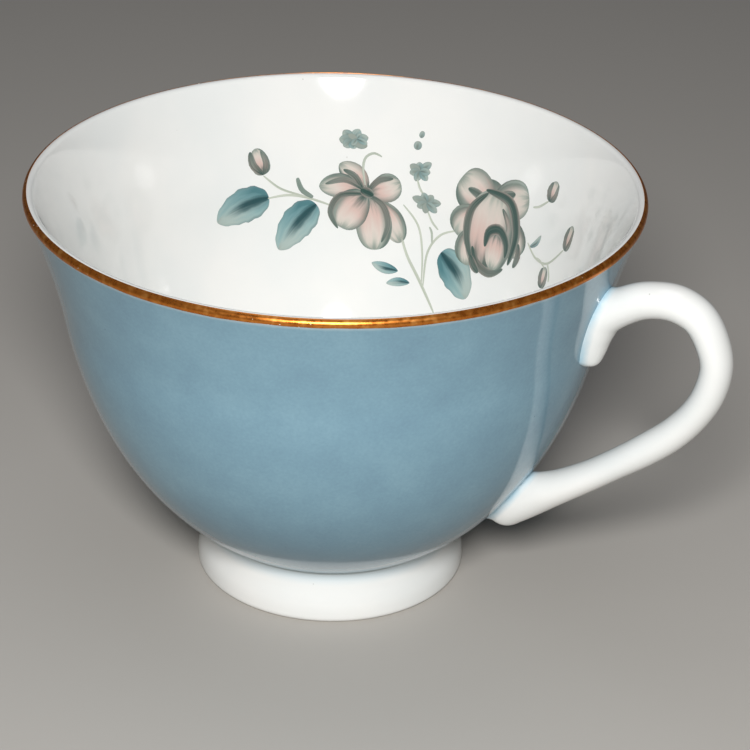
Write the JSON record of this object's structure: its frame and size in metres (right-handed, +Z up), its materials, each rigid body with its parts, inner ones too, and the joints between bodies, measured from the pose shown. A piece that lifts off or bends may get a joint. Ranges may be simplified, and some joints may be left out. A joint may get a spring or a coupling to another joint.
{
  "type": "teacup",
  "caption": "Footed bell-shaped china teacup with a curled handle, a blue outside, a gilt lip line and a printed rose spray inside.",
  "frame": {"origin": "on the bowl's axis, in the plane of the foot's standing ring", "axes": "+Z up along the bowl's axis, +X towards the handle, +Y towards the side with the printed spray"},
  "size_m": [0.1196, 0.1012, 0.07],
  "materials": {
    "bone_china": "gloss",
    "slip": "matte",
    "blue_ground": "gloss",
    "gilding": "polished",
    "print_pink": "gloss",
    "print_teal": "gloss",
    "print_green": "gloss"
  },
  "bodies": {
    "root": {"bowl": "bone_china", "foot_ring": "bone_china", "foot_slip": "slip", "handle": "bone_china", "handle_slip_upper": "slip", "handle_slip_lower": "slip", "blue_ground": "blue_ground", "gilt_rim_line": "gilding", "print_rose": "print_pink", "print_open_flower": "print_pink", "print_top_blossom": "print_teal", "print_small_blossoms": "print_teal", "print_leaf_left": "print_teal", "print_leaf_middle": "print_teal", "print_leaf_right": "print_teal", "print_leaflets": "print_teal", "print_bud_left": "print_pink", "print_buds_right": "print_pink", "print_stems": "print_green"}
  },
  "joints": []
}
